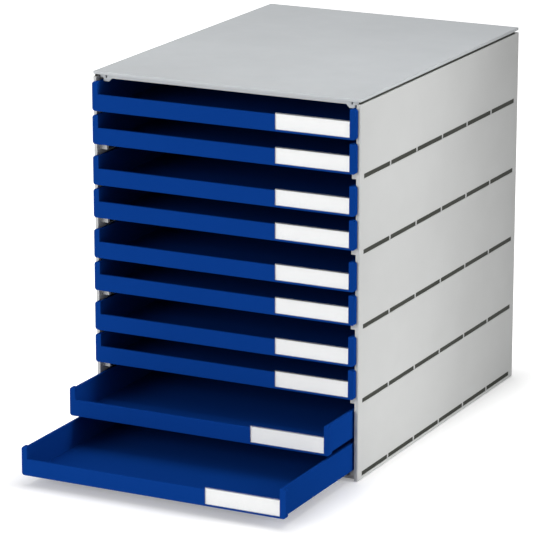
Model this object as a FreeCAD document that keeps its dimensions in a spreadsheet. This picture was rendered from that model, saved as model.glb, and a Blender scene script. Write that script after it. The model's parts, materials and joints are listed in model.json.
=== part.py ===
"""A free-standing desktop organizer: ten open-top drawers, two to a module, in a slotted housing.

Millimetres. X runs to the right seen from the front, Y from the front to the back and Z up.
The origin is the centre of the housing's footprint, on the underside of its base plate.
The ninth and tenth drawers from the top stand partly open.
"""
import FreeCAD, Part

import os
import re

import Sketcher

# Driving dimensions
SIZES = {
    # Housing
    "housing_width": 246,
    "housing_depth": 330,
    "module_pitch": 63.4,
    "seat_gap": 0.3,
    "side_play": 0.2,
    # Side panels, their slots and the rib under each upper drawer
    "panel_thickness": 3.2,
    "panel_top_margin": 1.4,
    "panel_edge_radius": 1.2,
    "slot_margin": 8.2,
    "slot_bridge": 2,
    "slot_height": 4,
    "slot_rise": 2.5,
    "rib_width": 5.8,
    "rib_thickness": 2,
    "rib_setback": 22,
    # Runner strips, clipped into the slots, and the moulded boss in front of each
    "runner_width": 6.4,
    "runner_height": 6,
    "runner_rise": 1.9,
    "boss_setback": 5.5,
    "boss_length": 3,
    "tongue_recess": 0.3,
    "tongue_play": 0.15,
    # Cover strips, which stand in troughs of the side panels and carry the cover
    "cover_strip_inset": 1,
    "cover_strip_width": 1.3,
    "cover_strip_setback": 2,
    "cover_strip_end_gap": 7,
    "trough_depth": 3,
    # Top cover
    "cover_thickness": 2.4,
    "cover_groove": 2.2,
    "cover_edge_radius": 0.5,
    "cover_corner_radius": 1,
    "lip_setback": 5.5,
    "lip_thickness": 2,
    "lip_height": 3.7,
    "lip_side_gap": 0.8,
    "tab_width": 7.6,
    "tab_drop": 2.9,
    "tab_side_gap": 4,
    "tab_chamfer": 2.6,
    "slit_width": 1.3,
    "slit_height": 3,
    "slit_offset": 2,
    # Base plate and feet
    "base_thickness": 2.4,
    "base_setback": 5,
    "foot_radius": 9,
    "foot_taper": 0.5,
    "foot_height": 2,
    "foot_stand": 0.6,
    "foot_play": 0.2,
    "foot_side_inset": 25,
    "foot_end_inset": 20,
    # Back panel
    "back_thickness": 2.4,
    "back_inset": 1,
    "field_depth": 0.6,
    "field_side_margin": 14.6,
    "field_margin": 8,
    # Drawers
    "drawer_height": 25,
    "drawer_gap": 3.4,
    "front_stand": 5,
    "front_height": 14.1,
    "front_wall": 2.2,
    "flange_side_step": 1.7,
    "flange_corner_radius": 2.4,
    "flange_edge_radius": 0.3,
    "pull_corner_radius": 0.5,
    "tray_side_gap": 1.6,
    "tray_end_gap": 2.1,
    "tray_wall": 2.2,
    "tray_floor": 1.8,
    "tray_edge_radius": 1.5,
    "wall_step": 0.3,
    # Drawer stops
    "drawer_travel": 240,
    "stop_length": 3,
    "stop_height": 6,
    "stop_rise": 11,
    "stop_play": 0.4,
    "stop_inset": 6.5,
    # Label cards and their windows
    "label_width": 67,
    "label_rise": 1.6,
    "label_depth": 1.2,
    "label_play": 0.15,
    "card_thickness": 0.3,
    "window_thickness": 0.8,
    "window_gap": 0.1,
    # How far the two lowest drawers stand open
    "pull_ninth": 45,
    "pull_tenth": 125,
}
MODULES = 5
SLOTS_PER_ROW = 6
DRAWERS_PER_MODULE = 2
OPEN_DRAWERS = {9: "pull_ninth", 10: "pull_tenth"}
NEAR = 1e-6

# Places worked out from the driving dimensions, X and Z of the right-hand side
INNER_FACE = "(housing_width / 2 - panel_thickness)"
FRONT_EDGE = "(-housing_depth / 2)"
PANEL_TOP = f"({MODULES} * module_pitch + panel_top_margin)"
COVER_UNDERSIDE = f"({PANEL_TOP} + cover_groove)"
COVER_STRIP_INNER = "(housing_width / 2 - cover_strip_inset - cover_strip_width)"
COVER_STRIP_OUTER = "(housing_width / 2 - cover_strip_inset)"
COVER_STRIP_FRONT = f"({FRONT_EDGE} + cover_strip_setback)"
COVER_STRIP_END = "(housing_depth / 2 - cover_strip_end_gap)"
BACK_REAR = "(housing_depth / 2 - back_inset)"
BACK_FRONT = f"({BACK_REAR} - back_thickness)"
STRIP_REAR = f"({BACK_FRONT} - seat_gap)"
RUNNER_INNER = f"({INNER_FACE} - runner_width)"
BOSS_REAR = f"({FRONT_EDGE} + boss_setback + boss_length)"
RUNNER_TOP = "(runner_rise + runner_height)"
SLOT_LENGTH = (
    f"((housing_depth - 2 * slot_margin - {SLOTS_PER_ROW - 1} * slot_bridge) / {SLOTS_PER_ROW})"
)
LOWER_DRAWER = f"({RUNNER_TOP} + seat_gap)"
UPPER_DRAWER = f"({LOWER_DRAWER} + drawer_height + drawer_gap)"

# Places in a drawer's own frame: Y from the plane of its front, Z from its underside
TRAY_HALF = f"({INNER_FACE} - tray_side_gap)"
TRAY_INNER = f"({TRAY_HALF} - tray_wall)"
FLANGE_HALF = "(housing_width / 2 - flange_side_step)"
FLANGE_DEPTH = "(front_stand - seat_gap)"
TRAY_REAR = f"({BACK_FRONT} - tray_end_gap - {FRONT_EDGE} + front_stand)"
STOP_PROUD = "(tray_side_gap - stop_play)"
LUG_FRONT = f"({TRAY_REAR} - stop_inset - stop_length)"

# The axes along each origin plane, and the one across it
PLANES = {"XY": "XYZ", "XZ": "XZY", "YZ": "YZX"}

doc = FreeCAD.newDocument("drawer_organizer")
sheet = doc.addObject("Spreadsheet::Sheet", "Sizes")
for row, (alias, size) in enumerate(SIZES.items(), start=1):
    sheet.set(f"A{row}", alias)
    sheet.set(f"B{row}", str(size))
    sheet.setAlias(f"B{row}", alias)
doc.recompute()

subparts = []


def bind(thing, name, formula):
    """Bind a property to a formula of the named sizes."""
    thing.setExpression(name, re.sub(r"[a-z]+_[a-z_]+", r"Sizes.\g<0>", formula))


def place(thing, x="0", y="0", z="0"):
    """Bind where a sub-part stands."""
    for axis, formula in zip("xyz", (x, y, z)):
        bind(thing, f"Placement.Base.{axis}", formula)


def keep(thing, label):
    """Name a sub-part, which is written out under that name."""
    thing.Label = label
    subparts.append(thing)
    return thing


def datum(body, role):
    """One of a body's own origin planes or axes."""
    return next(item for item in body.Origin.OriginFeatures if item.Role == role)


def laid_in(plane, corner):
    """A corner's places along an origin plane's two directions, and across the plane."""
    return [corner["XYZ".index(axis)] for axis in PLANES[plane]]


def faces_back(plane):
    """Whether a plane's normal points the other way from the axis across it, as only XZ's does."""
    return plane == "XZ"


def attached_sketch(body, label, plane, corner):
    """A sketch on a body's own origin plane, its own origin at the given corner."""
    along, up, across = laid_in(plane, corner)
    sketch = body.newObject("Sketcher::SketchObject", label)
    sketch.AttachmentSupport = [(datum(body, f"{plane}_Plane"), "")]
    sketch.MapMode = "FlatFace"
    bind(sketch, "AttachmentOffset.Base.x", along)
    bind(sketch, "AttachmentOffset.Base.y", up)
    bind(sketch, "AttachmentOffset.Base.z", f"-({across})" if faces_back(plane) else across)
    return sketch


def rectangle(body, label, plane, low, high):
    """Sketch a rectangle on a plane through the lower of two corners."""
    sketch = attached_sketch(body, label, plane, low)
    corners = [FreeCAD.Vector(x, y, 0) for x, y in ((0, 0), (2, 0), (2, 1), (0, 1))]
    for index in range(4):
        sketch.addGeometry(Part.LineSegment(corners[index], corners[(index + 1) % 4]), False)
    for index in range(4):
        sketch.addConstraint(Sketcher.Constraint("Coincident", index, 2, (index + 1) % 4, 1))
        direction = "Vertical" if index % 2 else "Horizontal"
        sketch.addConstraint(Sketcher.Constraint(direction, index))
    sketch.addConstraint(Sketcher.Constraint("Coincident", 0, 1, -1, 1))
    width = sketch.addConstraint(Sketcher.Constraint("DistanceX", 0, 1, 0, 2, 2))
    height = sketch.addConstraint(Sketcher.Constraint("DistanceY", 1, 1, 1, 2, 1))
    sketch.renameConstraint(width, "width")
    sketch.renameConstraint(height, "height")
    left, bottom, _ = laid_in(plane, low)
    right, top, _ = laid_in(plane, high)
    bind(sketch, "Constraints.width", f"{right} - ({left})")
    bind(sketch, "Constraints.height", f"{top} - ({bottom})")
    return sketch


def block(body, label, plane, low, high, cut=False):
    """Pad a box between two corners onto a body, or pocket it out of the body."""
    sketch = rectangle(body, f"{label}_outline", plane, low, high)
    feature = body.newObject("PartDesign::Pocket" if cut else "PartDesign::Pad", label)
    feature.Profile = sketch
    bind(feature, "Length", f"{laid_in(plane, high)[-1]} - ({laid_in(plane, low)[-1]})")
    feature.Reversed = cut != faces_back(plane)
    body.Tip = feature
    return feature


def rows(body, label, feature, *directions):
    """Repeat a feature along one or two of the body's axes: (axis, count, spacing)."""
    pattern = body.newObject("PartDesign::LinearPattern", label)
    pattern.Originals = [feature]
    for suffix, (axis, _, spacing) in zip(("", "2"), directions):
        setattr(pattern, f"Direction{suffix}", (datum(body, f"{axis}_Axis"), [""]))
        setattr(pattern, f"Mode{suffix}", "Spacing")
        bind(pattern, f"Offset{suffix}", spacing)
    doc.recompute()
    for suffix, (_, count, _) in zip(("", "2"), directions):
        setattr(pattern, f"Occurrences{suffix}", count)
    body.Tip = pattern
    return pattern


def both_sides(body, label, features):
    """Repeat features on the left-hand side of a body."""
    mirrored = body.newObject("PartDesign::Mirrored", label)
    mirrored.Originals = features
    mirrored.MirrorPlane = (datum(body, "YZ_Plane"), [""])
    body.Tip = mirrored
    return mirrored


def dress(body, kind, label, size_name, size, chosen):
    """Fillet or chamfer the edges of a body that a test picks out."""
    doc.recompute()
    base = body.Tip
    picked = [f"Edge{number}" for number, edge in enumerate(base.Shape.Edges, 1) if chosen(edge)]
    feature = body.newObject(f"PartDesign::{kind}", label)
    feature.Base = (base, picked)
    bind(feature, size_name, size)
    body.Tip = feature
    return feature


def runs_along(edge, axis):
    """Whether an edge is straight and parallel to an axis."""
    box = edge.BoundBox
    spans = {"X": box.XLength, "Y": box.YLength, "Z": box.ZLength}
    return spans[axis] > NEAR and sum(spans.values()) - spans[axis] < NEAR


def is_at(value, place):
    """Whether a coordinate is at a place."""
    return abs(value - place) < NEAR


def mirror_of(source, label):
    """The left-hand twin of a right-hand sub-part."""
    twin = doc.addObject("Part::Mirroring", label)
    twin.Source = source
    twin.Normal = (1, 0, 0)
    twin.Base = (0, 0, 0)
    return keep(twin, label)


# Side panels
def side_panel():
    """A flat slotted panel with a trough along its top edge, and bosses, ribs and stop beads inside."""
    body = keep(doc.addObject("PartDesign::Body", "side_panel_right"), "side_panel_right")
    outer = "housing_width / 2"
    plate_low = (INNER_FACE, FRONT_EDGE, "0")
    plate_high = (outer, "housing_depth / 2", PANEL_TOP)
    plate = block(body, "plate", "YZ", plate_low, plate_high)
    doc.recompute()
    box = plate.Shape.BoundBox

    def front_corner(edge):
        middle = edge.CenterOfMass
        return runs_along(edge, "Z") and is_at(middle.x, box.XMax) and is_at(middle.y, box.YMin)

    dress(body, "Fillet", "front_rounding", "Radius", "panel_edge_radius", front_corner)
    first_slot = f"{FRONT_EDGE} + slot_margin"
    slot_low = (INNER_FACE, first_slot, "slot_rise")
    slot_high = (outer, f"{first_slot} + {SLOT_LENGTH}", "slot_rise + slot_height")
    slot = block(body, "slot", "YZ", slot_low, slot_high, cut=True)
    along = ("Y", SLOTS_PER_ROW, f"{SLOT_LENGTH} + slot_bridge")
    rows(body, "slots", slot, along, ("Z", MODULES, "module_pitch"))
    trough_inner = f"{COVER_STRIP_INNER} - tongue_play"
    trough_low = (trough_inner, f"{COVER_STRIP_FRONT} - tongue_play", f"{PANEL_TOP} - trough_depth")
    trough_high = (f"{COVER_STRIP_OUTER} + tongue_play", f"{COVER_STRIP_END} + tongue_play", PANEL_TOP)
    block(body, "trough", "XZ", trough_low, trough_high, cut=True)
    boss_low = (RUNNER_INNER, f"{FRONT_EDGE} + boss_setback", "runner_rise")
    boss = block(body, "boss", "YZ", boss_low, (INNER_FACE, BOSS_REAR, RUNNER_TOP))
    rows(body, "bosses", boss, ("Z", MODULES, "module_pitch"))
    rib_top = f"{UPPER_DRAWER} - seat_gap"
    rib_low = (f"{INNER_FACE} - rib_width", f"{FRONT_EDGE} + rib_setback", f"{rib_top} - rib_thickness")
    rib = block(body, "rib", "YZ", rib_low, (INNER_FACE, STRIP_REAR, rib_top))
    rows(body, "ribs", rib, ("Z", MODULES, "module_pitch"))
    bead_rear = f"{FRONT_EDGE} - front_stand + {LUG_FRONT} - drawer_travel - seat_gap"
    bead_rise = f"{LOWER_DRAWER} + stop_rise"
    bead_low = (f"{INNER_FACE} - {STOP_PROUD}", f"{bead_rear} - stop_length", bead_rise)
    bead = block(body, "bead", "YZ", bead_low, (INNER_FACE, bead_rear, f"{bead_rise} + stop_height"))
    pair = ("Z", DRAWERS_PER_MODULE, "drawer_height + drawer_gap")
    rows(body, "beads", bead, pair, ("Z", MODULES, "module_pitch"))
    return body


# Cover strips
def cover_strip():
    """The right-hand strip that stands in the trough of its side panel and carries the cover."""
    body = keep(doc.addObject("PartDesign::Body", "cover_strip_right"), "cover_strip_right")
    low = (COVER_STRIP_INNER, COVER_STRIP_FRONT, f"{PANEL_TOP} - trough_depth")
    block(body, "strip", "XY", low, (COVER_STRIP_OUTER, COVER_STRIP_END, COVER_UNDERSIDE))
    return body


# Top cover
def top_cover():
    """A plate with a hanging lip and snap tabs behind its front edge."""
    body = keep(doc.addObject("PartDesign::Body", "top_cover"), "top_cover")
    half = "housing_width / 2"
    front = f"{FRONT_EDGE} + lip_setback"
    lip_rear = f"{front} + lip_thickness"
    lip_bottom = f"{COVER_UNDERSIDE} - lip_height"
    plate_low = (f"-{half}", FRONT_EDGE, COVER_UNDERSIDE)
    plate_high = (half, "housing_depth / 2", f"{COVER_UNDERSIDE} + cover_thickness")
    plate = block(body, "plate", "XY", plate_low, plate_high)
    dress(body, "Fillet", "corners", "Radius", "cover_corner_radius", lambda edge: runs_along(edge, "Z"))
    top = plate.Shape.BoundBox.ZMax
    dress(body, "Fillet", "top_rounding", "Radius", "cover_edge_radius",
          lambda edge: is_at(edge.BoundBox.ZMin, top))
    lip_half = f"({INNER_FACE} - lip_side_gap)"
    block(body, "lip", "XY", (f"-{lip_half}", front, lip_bottom), (lip_half, lip_rear, COVER_UNDERSIDE))
    tab_outer = f"({INNER_FACE} - tab_side_gap)"
    tab_low = (f"{tab_outer} - tab_width", front, f"{lip_bottom} - tab_drop")
    tab = block(body, "tab", "XY", tab_low, (tab_outer, lip_rear, lip_bottom))
    slit_low = (f"{tab_outer} - slit_offset - slit_width", front, lip_bottom)
    slit_high = (f"{tab_outer} - slit_offset", lip_rear, f"{lip_bottom} + slit_height")
    slit = block(body, "slit", "XZ", slit_low, slit_high, cut=True)
    both_sides(body, "tabs_and_slits", [tab, slit])
    doc.recompute()
    foot = body.Tip.Shape.BoundBox.ZMin
    foot_edges = [edge for edge in body.Tip.Shape.Edges
                  if runs_along(edge, "Y") and is_at(edge.CenterOfMass.z, foot)]
    innermost = min(abs(edge.CenterOfMass.x) for edge in foot_edges)

    def inner_corner(edge):
        middle = edge.CenterOfMass
        return runs_along(edge, "Y") and is_at(middle.z, foot) and is_at(abs(middle.x), innermost)

    dress(body, "Chamfer", "tab_chamfers", "Size", "tab_chamfer", inner_corner)
    return body


# Base plate and feet
def base_plate():
    """A plate between the lowest runners, its thin edges under them, with pockets for the feet."""
    body = keep(doc.addObject("PartDesign::Body", "base_plate"), "base_plate")
    front = f"{FRONT_EDGE} + base_setback"
    tongue_half = f"({INNER_FACE} - side_play)"
    plate_half = f"({RUNNER_INNER} - side_play)"
    tongue_high = (tongue_half, STRIP_REAR, "runner_rise - side_play")
    block(body, "tongues", "XY", (f"-{tongue_half}", front, "0"), tongue_high)
    block(body, "plate", "XY", (f"-{plate_half}", front, "0"), (plate_half, STRIP_REAR, "base_thickness"))
    across = "(housing_width / 2 - foot_side_inset)"
    along = "(housing_depth / 2 - foot_end_inset)"
    sketch = attached_sketch(body, "pocket_outline", "XY", (f"-{across}", f"-{along}", "0"))
    sketch.addGeometry(Part.Circle(FreeCAD.Vector(), FreeCAD.Vector(0, 0, 1), 1), False)
    sketch.addConstraint(Sketcher.Constraint("Coincident", 0, 3, -1, 1))
    radius = sketch.addConstraint(Sketcher.Constraint("Radius", 0, 1))
    sketch.renameConstraint(radius, "radius")
    bind(sketch, "Constraints.radius", "foot_radius + foot_play")
    pocket = body.newObject("PartDesign::Pocket", "foot_pocket")
    pocket.Profile = sketch
    pocket.Reversed = True
    bind(pocket, "Length", "foot_height - foot_stand")
    rows(body, "foot_pockets", pocket, ("X", 2, f"2 * {across}"), ("Y", 2, f"2 * {along}"))
    return body


def rubber_feet():
    """Four tapered round feet, each in its pocket."""
    feet = []
    for name, side, end in (("a", "-", "-"), ("b", "", "-"), ("c", "-", ""), ("d", "", "")):
        foot = doc.addObject("Part::Cone", f"foot_{name}")
        bind(foot, "Radius1", "foot_radius - foot_taper")
        bind(foot, "Radius2", "foot_radius")
        bind(foot, "Height", "foot_height")
        across = f"{side}(housing_width / 2 - foot_side_inset)"
        place(foot, across, f"{end}(housing_depth / 2 - foot_end_inset)", "-foot_stand")
        feet.append(foot)
    group = doc.addObject("Part::Compound", "rubber_feet")
    group.Links = feet
    return keep(group, "rubber_feet")


# Back panel
def back_panel():
    """A panel between the side panels with a shallow field behind each module."""
    body = keep(doc.addObject("PartDesign::Body", "back_panel"), "back_panel")
    half = f"({INNER_FACE} - side_play)"
    plate_high = (half, BACK_REAR, f"{COVER_UNDERSIDE} - seat_gap")
    block(body, "plate", "XZ", (f"-{half}", BACK_FRONT, "0"), plate_high)
    field_half = f"({INNER_FACE} - field_side_margin)"
    field_low = (f"-{field_half}", f"{BACK_REAR} - field_depth", "field_margin")
    field_high = (field_half, BACK_REAR, "module_pitch - field_margin")
    field = block(body, "field", "XZ", field_low, field_high, cut=True)
    rows(body, "fields", field, ("Z", MODULES, "module_pitch"))
    return body


# Runner strips
def runner(module):
    """The right-hand strip of a module: a bar with tongues that stand in a row of slots."""
    label = f"runner_right_{module + 1}"
    body = keep(doc.addObject("PartDesign::Body", label), label)
    place(body, z=f"{module} * module_pitch")
    bar_low = (RUNNER_INNER, f"{BOSS_REAR} + side_play", "runner_rise")
    block(body, "bar", "YZ", bar_low, (INNER_FACE, STRIP_REAR, RUNNER_TOP))
    start = f"{FRONT_EDGE} + slot_margin + tongue_play"
    tongue_low = (INNER_FACE, start, "slot_rise + tongue_play")
    tongue_end = f"{FRONT_EDGE} + slot_margin + {SLOT_LENGTH} - tongue_play"
    tongue_high = ("housing_width / 2 - tongue_recess", tongue_end, "slot_rise + slot_height - tongue_play")
    tongue = block(body, "tongue", "YZ", tongue_low, tongue_high)
    rows(body, "tongues", tongue, ("Y", SLOTS_PER_ROW, f"{SLOT_LENGTH} + slot_bridge"))
    return body


# Drawers, each with its card and window
def stand_drawer(thing, number, x="0", y="0", z="0"):
    """Place a piece by its corner in the frame of a drawer, counted from the top."""
    module, level = divmod(MODULES * DRAWERS_PER_MODULE - number, DRAWERS_PER_MODULE)
    rise = UPPER_DRAWER if level else LOWER_DRAWER
    pull = OPEN_DRAWERS.get(number, "0")
    front = f"{FRONT_EDGE} - front_stand - {pull} + {y}"
    place(thing, x, front, f"{module} * module_pitch + {rise} + {z}")


def drawer(number):
    """An open tray with a low front between two ears, which stand out past the side walls."""
    label = f"drawer_{number:02d}"
    body = keep(doc.addObject("PartDesign::Body", label), label)
    stand_drawer(body, number)
    wall_top = "drawer_height - wall_step"
    flange_low = (f"-{FLANGE_HALF}", "0", "0")
    block(body, "flange", "XZ", flange_low, (FLANGE_HALF, FLANGE_DEPTH, "drawer_height"))
    dress(body, "Fillet", "flange_corners", "Radius", "flange_corner_radius",
          lambda edge: runs_along(edge, "Y"))
    block(body, "tray", "XZ", (f"-{TRAY_HALF}", FLANGE_DEPTH, "0"), (TRAY_HALF, TRAY_REAR, wall_top))
    doc.recompute()
    box = body.Tip.Shape.BoundBox

    def tray_edge(edge):
        beneath = runs_along(edge, "Y") and is_at(edge.CenterOfMass.z, box.ZMin)
        behind = runs_along(edge, "Z") and is_at(edge.CenterOfMass.y, box.YMax)
        return behind or (beneath and is_at(edge.BoundBox.YMax, box.YMax))

    dress(body, "Fillet", "tray_rounding", "Radius", "tray_edge_radius", tray_edge)
    inside_high = (TRAY_INNER, f"{TRAY_REAR} - tray_wall", "drawer_height")
    block(body, "inside", "XY", (f"-{TRAY_INNER}", "front_wall", "tray_floor"), inside_high, cut=True)
    pull_high = (TRAY_INNER, "front_wall", "drawer_height")
    block(body, "pull", "XZ", (f"-{TRAY_INNER}", "0", "front_height"), pull_high, cut=True)
    doc.recompute()
    front_heights = sorted({round(edge.CenterOfMass.z, 6) for edge in body.Tip.Shape.Edges
                            if runs_along(edge, "X") and is_at(edge.CenterOfMass.y, box.YMin)})
    front_top = front_heights[1]

    def pull_corner(edge):
        at_front = runs_along(edge, "Y") and is_at(edge.BoundBox.YMin, box.YMin)
        return at_front and is_at(edge.CenterOfMass.z, front_top)

    dress(body, "Fillet", "pull_corners", "Radius", "pull_corner_radius", pull_corner)
    dress(body, "Fillet", "front_rounding", "Radius", "flange_edge_radius",
          lambda edge: is_at(edge.BoundBox.YMax, box.YMin))
    recess_low = (f"{TRAY_INNER} - label_width", "0", "label_rise")
    recess_high = (TRAY_INNER, "label_depth", "drawer_height")
    block(body, "label_recess", "XZ", recess_low, recess_high, cut=True)
    lug_low = (TRAY_HALF, LUG_FRONT, "stop_rise")
    lug_high = (f"{TRAY_HALF} + {STOP_PROUD}", f"{LUG_FRONT} + stop_length", "stop_rise + stop_height")
    lug = block(body, "lug", "YZ", lug_low, lug_high)
    both_sides(body, "lugs", [lug])
    return body


def label_piece(number, name, thickness, beneath):
    """A card or its window: a strip in the recess, folded back over the top of the low front."""
    label = f"{name}_{number:02d}"
    body = keep(doc.addObject("PartDesign::Body", label), label)
    stand_drawer(body, number)
    left = f"({TRAY_INNER} - label_width + label_play)"
    right = f"({TRAY_INNER} - label_play)"
    rear = f"(label_depth - ({beneath}))"
    fold = f"(front_height + label_play + {beneath})"
    front = f"({rear} - {thickness})"
    top = f"({fold} + {thickness})"
    block(body, "strip", "XZ", (left, front, "label_rise + label_play"), (right, rear, top))
    block(body, "fold", "XZ", (left, rear, fold), (right, "front_wall", top))
    return body


panel = side_panel()
mirror_of(panel, "side_panel_left")
carrier = cover_strip()
mirror_of(carrier, "cover_strip_left")
top_cover()
base_plate()
back_panel()
rubber_feet()
for module in range(MODULES):
    strip = runner(module)
    mirror_of(strip, f"runner_left_{module + 1}")
for number in range(1, MODULES * DRAWERS_PER_MODULE + 1):
    drawer(number)
    label_piece(number, "label_card", "card_thickness", "0")
    label_piece(number, "label_window", "window_thickness", "card_thickness + window_gap")
doc.recompute()

# Every object has to be sound, and every cut has to have taken something away
for item in doc.Objects:
    if "Invalid" in item.State or "Error" in item.State:
        raise RuntimeError(f"{item.Label} failed: {item.State}")
    if item.TypeId == "PartDesign::Pocket" and item.Shape.Volume >= item.BaseFeature.Shape.Volume:
        raise RuntimeError(f"{item.Label} cuts nothing")
for item in subparts:
    if item.Shape.isNull() or not item.Shape.isValid():
        raise RuntimeError(f"{item.Label} has no sound shape")

os.makedirs("parts", exist_ok=True)
for item in subparts:
    item.Shape.exportStep(f"parts/{item.Label}.step")
    print(item.Label, len(item.Shape.Solids), round(item.Shape.Volume, 1))
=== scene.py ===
"""The looks of the desktop drawer organizer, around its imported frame. Metres."""

import json
import math

import bpy
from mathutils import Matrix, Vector


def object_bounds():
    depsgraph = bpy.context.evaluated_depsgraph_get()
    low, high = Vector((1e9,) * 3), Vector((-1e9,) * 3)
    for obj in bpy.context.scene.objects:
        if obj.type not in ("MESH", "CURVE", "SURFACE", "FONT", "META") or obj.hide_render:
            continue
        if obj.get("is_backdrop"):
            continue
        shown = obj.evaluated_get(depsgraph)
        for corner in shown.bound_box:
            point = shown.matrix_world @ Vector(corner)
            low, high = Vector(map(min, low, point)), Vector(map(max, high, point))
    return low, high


# The photograph's height in pixels, and the camera that was fitted to it
FRAME_HEIGHT = 550
FOCAL_LENGTH_PX = 3323
CAMERA_AZIMUTH = math.radians(26.73)
CAMERA_ELEVATION = math.radians(15.59)
CAMERA_DISTANCE = 2.88
CAMERA_TARGET = Vector((-0.0229, -0.0423, 0.1285))
SENSOR_HEIGHT = 36

# Base colours, as linear red, green and blue
PANEL_GREY = (0.55, 0.556, 0.55)
COVER_GREY = (0.512, 0.533, 0.55)
# The runners are coloured near-black as painted shade: it darkens the side slots and the runner ends,
# where only the shade of the recess falls
RUNNER_PAINTED_SHADE = (0.04, 0.042, 0.034)
DRAWER_BLUE = (0.0035, 0.042, 0.245)
CARD_WHITE = (0.94, 0.94, 0.935)
RUBBER_BLACK = (0.02, 0.02, 0.02)
WINDOW_TINT = (0.97, 0.98, 0.99)
FLOOR_WHITE = (0.86, 0.86, 0.86)

# Patterns in the moulded plastic, in features per metre, and the stretch of its flow marks
CLOUDS = 9
FLOW_MARKS = 14
FLOW_STRETCH = (1, 0.15, 1)
WORN_SPOTS = 160
GLOSS_PATCHES = 45
SPARK_GRAIN = 2600
SINK_WAVES = 11

# Depths of its grain and its waves in metres, and how strongly the waves show
GRAIN_DEPTH = 0.00004
WAVE_DEPTH = 0.0006
WAVE_STRENGTH = 0.05

# How far from a sharp edge the paler worn edge and painted highlight reach, and between which cosines of
# the edge's turn they fade
EDGE_WIDTH = 0.0002
EDGE_COSINES = (0.75, 0.995)
EDGE_SAMPLES = 4

# Patterns in the card, the window, the rubber and the floor, in features per metre
CARD_FIBRE = 900
CARD_PATCHES = 300
CARD_TOOTH = 1500
WINDOW_CLOUDS = 60
WINDOW_SCRATCHES = 500
RUBBER_DUST = 350
RUBBER_PATCHES = 200
RUBBER_GRAIN = 1800
FLOOR_CLOUDS = 3

# The stretches of fibre and scratches, and the depths of the card's tooth and the rubber's grain
FIBRE_STRETCH = (1, 1, 0.3)
SCRATCH_STRETCH = (0.15, 1, 1)
TOOTH_DEPTH = 0.00003
RUBBER_DEPTH = 0.00006

# The window's refractive index, and the limits between which its sheen follows Fresnel
WINDOW_IOR = 1.49
WINDOW_SHEEN = (0.04, 0.6)

# The floor's size, and how strongly it shines to the camera beside the object's box, weaker there as
# painted shade round the object's foot, and past the reach
FLOOR_SIZE = 14
FLOOR_GLOW = (0.27, 0.72)
GLOW_REACH = 0.06

# How strongly the surround lights the object
WORLD_LIGHT = 0.42

# Lamps: name, place and aim in metres, width and height in metres, spread in degrees, power in watts
LAMPS = (
    ("right_light", (0.9, -0.1, 0.49), (0.12, -0.1, 0.19), (0.1, 0.95), 42, 0.57),
    ("left_light", (-1.5, -2.6, 0.5), (0, 0, 0.15), (2.1, 2.1), 180, 70),
    ("top_light", (0, 0.15, 1.9), (0, 0, 0.15), (1.4, 1.4), 180, 13.8),
)

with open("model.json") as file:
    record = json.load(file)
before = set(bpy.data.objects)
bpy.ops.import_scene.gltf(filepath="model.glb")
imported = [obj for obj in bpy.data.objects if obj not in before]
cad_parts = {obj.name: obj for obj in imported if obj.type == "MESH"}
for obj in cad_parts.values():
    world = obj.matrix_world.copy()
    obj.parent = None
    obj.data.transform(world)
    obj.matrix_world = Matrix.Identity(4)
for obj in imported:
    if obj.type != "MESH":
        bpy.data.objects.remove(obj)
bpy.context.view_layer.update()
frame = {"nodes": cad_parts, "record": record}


def shade(colour, factor):
    """A colour made darker or lighter."""
    return tuple(min(1.0, channel * factor) for channel in colour)


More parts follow.
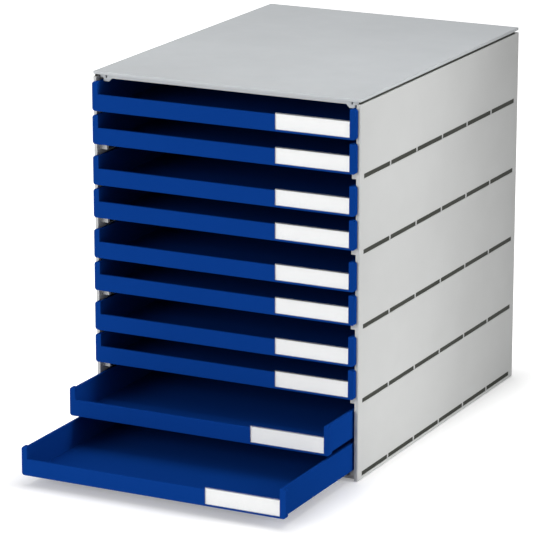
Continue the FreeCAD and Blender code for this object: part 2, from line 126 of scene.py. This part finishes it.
class Nodes:
    """A material's node tree, with short calls for the nodes that the materials share."""

    # Sockets of the colour mix, which share their names with those of its other data types
    FIRST_COLOUR = 6
    SECOND_COLOUR = 7
    MIXED_COLOUR = 2

    def __init__(self, name):
        self.material = bpy.data.materials.new(name)
        self.material.use_nodes = True
        self.tree = self.material.node_tree
        self.shader = self.tree.nodes["Principled BSDF"]
        self.output = self.tree.nodes["Material Output"]
        self.place = self.add("ShaderNodeTexCoord").outputs["Object"]

    def add(self, kind, **settings):
        """A new node with its settings."""
        node = self.tree.nodes.new(kind)
        for key, value in settings.items():
            setattr(node, key, value)
        return node

    def link(self, source, target):
        """Join an output to an input."""
        self.tree.links.new(source, target)

    def noise(self, scale, detail, stretch=(1, 1, 1)):
        """Noise over the object's own place, with features of about 1 / scale metres."""
        mapping = self.add("ShaderNodeMapping")
        mapping.inputs["Scale"].default_value = stretch
        self.link(self.place, mapping.inputs["Vector"])
        texture = self.add("ShaderNodeTexNoise")
        texture.inputs["Scale"].default_value = scale
        texture.inputs["Detail"].default_value = detail
        self.link(mapping.outputs["Vector"], texture.inputs["Vector"])
        return texture.outputs["Fac"]

    def spread(self, value, low, high, start=0.3, end=0.7):
        """Map a value from start and end to low and high. Noise mostly lies from 0.3 to 0.7."""
        node = self.add("ShaderNodeMapRange")
        for name, number in (("From Min", start), ("From Max", end), ("To Min", low), ("To Max", high)):
            node.inputs[name].default_value = number
        self.link(value, node.inputs["Value"])
        return node.outputs["Result"]

    def vector(self, operation, value, other=(0, 0, 0)):
        """Vector maths of a link and a constant."""
        node = self.add("ShaderNodeVectorMath", operation=operation)
        self.link(value, node.inputs[0])
        node.inputs[1].default_value = other
        return node.outputs["Vector"]

    def number(self, operation, first, second):
        """Maths of two linked numbers."""
        node = self.add("ShaderNodeMath", operation=operation)
        self.link(first, node.inputs[0])
        self.link(second, node.inputs[1])
        return node.outputs[0]

    def mix(self, factor, first, second):
        """Mix two colours, each a colour or a link."""
        node = self.add("ShaderNodeMix", data_type="RGBA")
        self.link(factor, node.inputs["Factor"])
        for place, colour in ((self.FIRST_COLOUR, first), (self.SECOND_COLOUR, second)):
            if isinstance(colour, tuple):
                node.inputs[place].default_value = (*colour, 1)
            else:
                self.link(colour, node.inputs[place])
        return node.outputs[self.MIXED_COLOUR]

    def edge_mask(self):
        """How near a point lies to a sharp edge, and the normal rounded over such edges."""
        bevel = self.add("ShaderNodeBevel", samples=EDGE_SAMPLES)
        bevel.inputs["Radius"].default_value = EDGE_WIDTH
        geometry = self.add("ShaderNodeNewGeometry")
        dot = self.add("ShaderNodeVectorMath", operation="DOT_PRODUCT")
        self.link(bevel.outputs["Normal"], dot.inputs[0])
        self.link(geometry.outputs["Normal"], dot.inputs[1])
        return self.spread(dot.outputs["Value"], 1, 0, *EDGE_COSINES), bevel.outputs["Normal"]

    def bump(self, height, distance, strength, normal=None):
        """Bump by a height, on top of a normal."""
        node = self.add("ShaderNodeBump")
        node.inputs["Distance"].default_value = distance
        node.inputs["Strength"].default_value = strength
        self.link(height, node.inputs["Height"])
        if normal:
            self.link(normal, node.inputs["Normal"])
        return node.outputs["Normal"]

    def finish(self, colour, roughness, normal=None):
        """Link the shader's colour, roughness and normal."""
        self.link(colour, self.shader.inputs["Base Color"])
        self.link(roughness, self.shader.inputs["Roughness"])
        if normal:
            self.link(normal, self.shader.inputs["Normal"])


def moulded_plastic(name, colour, roughness, grain, pale_edge_worn_and_highlight, specular):
    """Injection-moulded plastic: a fine spark-eroded grain, faint flow marks, and sharp edges painted
    paler, partly as rubbed plastic and partly as a painted highlight.
    """
    nodes = Nodes(name)
    cloud = nodes.spread(nodes.noise(CLOUDS, 3), 0, 1)
    flow = nodes.spread(nodes.noise(FLOW_MARKS, 4, FLOW_STRETCH), 0, 1)
    mottled = nodes.mix(cloud, shade(colour, 0.96), shade(colour, 1.03))
    flowed = nodes.mix(nodes.spread(flow, 0, 0.35, 0, 1), mottled, shade(colour, 0.94))
    # Sharp edges are painted paler, partly as rubbed plastic and partly as a painted highlight where an
    # edge catches light
    edge, rounded = nodes.edge_mask()
    worn = nodes.spread(nodes.noise(WORN_SPOTS, 3), 0.35, 1)
    worn_and_highlight_mask = nodes.number("MULTIPLY", edge, worn)
    patchy = nodes.spread(nodes.noise(GLOSS_PATCHES, 5), roughness - 0.05, roughness + 0.07)
    grained = nodes.bump(nodes.noise(SPARK_GRAIN, 2), GRAIN_DEPTH, grain, rounded)
    waved = nodes.bump(nodes.noise(SINK_WAVES, 1), WAVE_DEPTH, WAVE_STRENGTH, grained)
    nodes.finish(nodes.mix(worn_and_highlight_mask, flowed, shade(colour, pale_edge_worn_and_highlight)), patchy, waved)
    nodes.shader.inputs["Specular IOR Level"].default_value = specular
    return nodes.material


def card_stock(name):
    """Smooth white card with a faint fibre."""
    nodes = Nodes(name)
    fibre = nodes.spread(nodes.noise(CARD_FIBRE, 6, FIBRE_STRETCH), 0, 1)
    tone = nodes.mix(fibre, shade(CARD_WHITE, 0.975), CARD_WHITE)
    rough = nodes.spread(nodes.noise(CARD_PATCHES, 3), 0.6, 0.75)
    nodes.finish(tone, rough, nodes.bump(nodes.noise(CARD_TOOTH, 4), TOOTH_DEPTH, 0.2))
    return nodes.material


def clear_plastic(name):
    """A thin clear window: mostly see-through, with a gloss that fine scratches break up."""
    nodes = Nodes(name)
    cloud = nodes.spread(nodes.noise(WINDOW_CLOUDS, 2), 0, 1)
    tint = nodes.mix(cloud, WINDOW_TINT, shade(WINDOW_TINT, 0.985))
    nodes.finish(tint, nodes.spread(nodes.noise(WINDOW_SCRATCHES, 5, SCRATCH_STRETCH), 0.06, 0.2))
    nodes.shader.inputs["IOR"].default_value = WINDOW_IOR
    clear = nodes.add("ShaderNodeBsdfTransparent")
    fresnel = nodes.add("ShaderNodeFresnel")
    fresnel.inputs["IOR"].default_value = WINDOW_IOR
    sheen = nodes.spread(fresnel.outputs["Fac"], *WINDOW_SHEEN, *WINDOW_SHEEN)
    mixed = nodes.add("ShaderNodeMixShader")
    nodes.link(sheen, mixed.inputs["Fac"])
    nodes.link(clear.outputs[0], mixed.inputs[1])
    nodes.link(nodes.shader.outputs[0], mixed.inputs[2])
    nodes.link(mixed.outputs[0], nodes.output.inputs["Surface"])
    return nodes.material


def rubber(name):
    """Dull black rubber with dust in its grain."""
    nodes = Nodes(name)
    dust = nodes.spread(nodes.noise(RUBBER_DUST, 4), 0, 0.5)
    tone = nodes.mix(dust, RUBBER_BLACK, shade(RUBBER_BLACK, 3))
    rough = nodes.spread(nodes.noise(RUBBER_PATCHES, 3), 0.75, 0.9)
    nodes.finish(tone, rough, nodes.bump(nodes.noise(RUBBER_GRAIN, 3), RUBBER_DEPTH, 0.4))
    return nodes.material


def dress_nodes():
    """Give every node of the frame its material, by its material slot in the record."""
    looks = {
        "grey_panel": moulded_plastic("panel_plastic", PANEL_GREY,
                                      roughness=0.55, grain=0.25, pale_edge_worn_and_highlight=1.03, specular=0.25),
        "grey_cover": moulded_plastic("cover_plastic", COVER_GREY,
                                      roughness=0.5, grain=0.3, pale_edge_worn_and_highlight=1.03, specular=0.25),
        # The runners' near-black colour is painted shade for the side slots
        "grey_runner": moulded_plastic("runner_plastic_painted_shade", RUNNER_PAINTED_SHADE,
                                       roughness=0.6, grain=0.2, pale_edge_worn_and_highlight=1.1, specular=0.1),
        "blue_drawer": moulded_plastic("drawer_plastic", DRAWER_BLUE,
                                       roughness=0.45, grain=0.12, pale_edge_worn_and_highlight=1.1, specular=0),
        "white_card": card_stock("card_stock"),
        "clear_window": clear_plastic("window_plastic"),
        "foot_rubber": rubber("foot_rubber"),
    }
    for entry in frame["record"]["subparts"]:
        piece = frame["nodes"][entry["node"]]
        piece.data.materials.clear()
        piece.data.materials.append(looks[entry["material_slot"]])


def seen_rays(nodes, strength):
    """A strength for camera, glossy and transmission rays, and nothing for others."""
    rays = nodes.add("ShaderNodeLightPath").outputs
    seen = nodes.number("MAXIMUM", rays["Is Camera Ray"], rays["Is Glossy Ray"])
    seen = nodes.number("MAXIMUM", seen, rays["Is Transmission Ray"])
    return nodes.number("MULTIPLY", seen, strength)


def floor():
    """A white floor that shows white to the camera where it is lit, and keeps soft shadows; its glow is
    weaker near the object's box, a painted shade round the object's foot.
    """
    low, high = (Vector(corner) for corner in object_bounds())
    bpy.ops.mesh.primitive_plane_add(size=FLOOR_SIZE, location=(0, 0, low.z))
    plane = bpy.context.object
    plane.name = "floor"
    nodes = Nodes("floor_white")
    cloud = nodes.spread(nodes.noise(FLOOR_CLOUDS, 2), 0, 1)
    nodes.link(nodes.mix(cloud, FLOOR_WHITE, shade(FLOOR_WHITE, 1.01)), nodes.shader.inputs["Base Color"])
    nodes.shader.inputs["Roughness"].default_value = 0.7
    nodes.shader.inputs["Specular IOR Level"].default_value = 0.2

    # The distance from the object's box, on the floor
    offset = nodes.vector("SUBTRACT", nodes.place, (low + high) / 2)
    away = nodes.vector("SUBTRACT", nodes.vector("ABSOLUTE", offset), (high - low) / 2)
    distance = nodes.add("ShaderNodeVectorMath", operation="LENGTH")
    nodes.link(nodes.vector("MAXIMUM", away), distance.inputs[0])

    # The glow rises from its near value at the box to its far value past the reach, so the floor beside
    # and under the object carries painted shade
    glow = nodes.add("ShaderNodeEmission")
    strength = nodes.spread(distance.outputs["Value"], *FLOOR_GLOW, 0, GLOW_REACH)
    nodes.link(seen_rays(nodes, strength), glow.inputs["Strength"])
    total = nodes.add("ShaderNodeAddShader")
    nodes.link(nodes.shader.outputs[0], total.inputs[0])
    nodes.link(glow.outputs[0], total.inputs[1])
    nodes.link(total.outputs[0], nodes.output.inputs["Surface"])
    plane.data.materials.append(nodes.material)
    plane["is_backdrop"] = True


def studio_world():
    """A surround that shows white to the camera, and lights the object evenly and dimmer."""
    world = bpy.data.worlds.new("studio")
    world.use_nodes = True
    bpy.context.scene.world = world
    tree = world.node_tree
    surround = tree.nodes["Background"]
    surround.inputs["Color"].default_value = (1, 1, 1, 1)
    rays = tree.nodes.new("ShaderNodeLightPath")
    seen = tree.nodes.new("ShaderNodeMapRange")
    seen.inputs["To Min"].default_value = WORLD_LIGHT
    seen.inputs["To Max"].default_value = 1
    tree.links.new(rays.outputs["Is Camera Ray"], seen.inputs["Value"])
    tree.links.new(seen.outputs["Result"], surround.inputs["Strength"])


def studio_lights():
    """Soft lamps that face the object: a gridded strip on the right, one on the left and one overhead."""
    for name, place, aim, (width, height), spread, power in LAMPS:
        light = bpy.data.lights.new(name, "AREA")
        light.shape = "RECTANGLE"
        light.size = width
        light.size_y = height
        light.spread = math.radians(spread)
        light.energy = power
        lamp = bpy.data.objects.new(name, light)
        bpy.context.scene.collection.objects.link(lamp)
        lamp.location = place
        lamp.rotation_euler = (Vector(aim) - Vector(place)).to_track_quat("-Z", "Y").to_euler()


def camera():
    """The camera at the photograph's angle."""
    lens = bpy.data.cameras.new("camera")
    lens.sensor_fit = "VERTICAL"
    lens.sensor_height = SENSOR_HEIGHT
    lens.lens = FOCAL_LENGTH_PX / FRAME_HEIGHT * SENSOR_HEIGHT
    viewer = bpy.data.objects.new("camera", lens)
    bpy.context.scene.collection.objects.link(viewer)
    level = math.cos(CAMERA_ELEVATION)
    back = Vector((math.sin(CAMERA_AZIMUTH) * level, -math.cos(CAMERA_AZIMUTH) * level,
                   math.sin(CAMERA_ELEVATION)))
    viewer.location = CAMERA_TARGET + back * CAMERA_DISTANCE
    viewer.rotation_euler = (-back).to_track_quat("-Z", "Y").to_euler()
    bpy.context.scene.camera = viewer


dress_nodes()
floor()
studio_world()
studio_lights()
camera()
bpy.context.scene.view_settings.view_transform = "Standard"
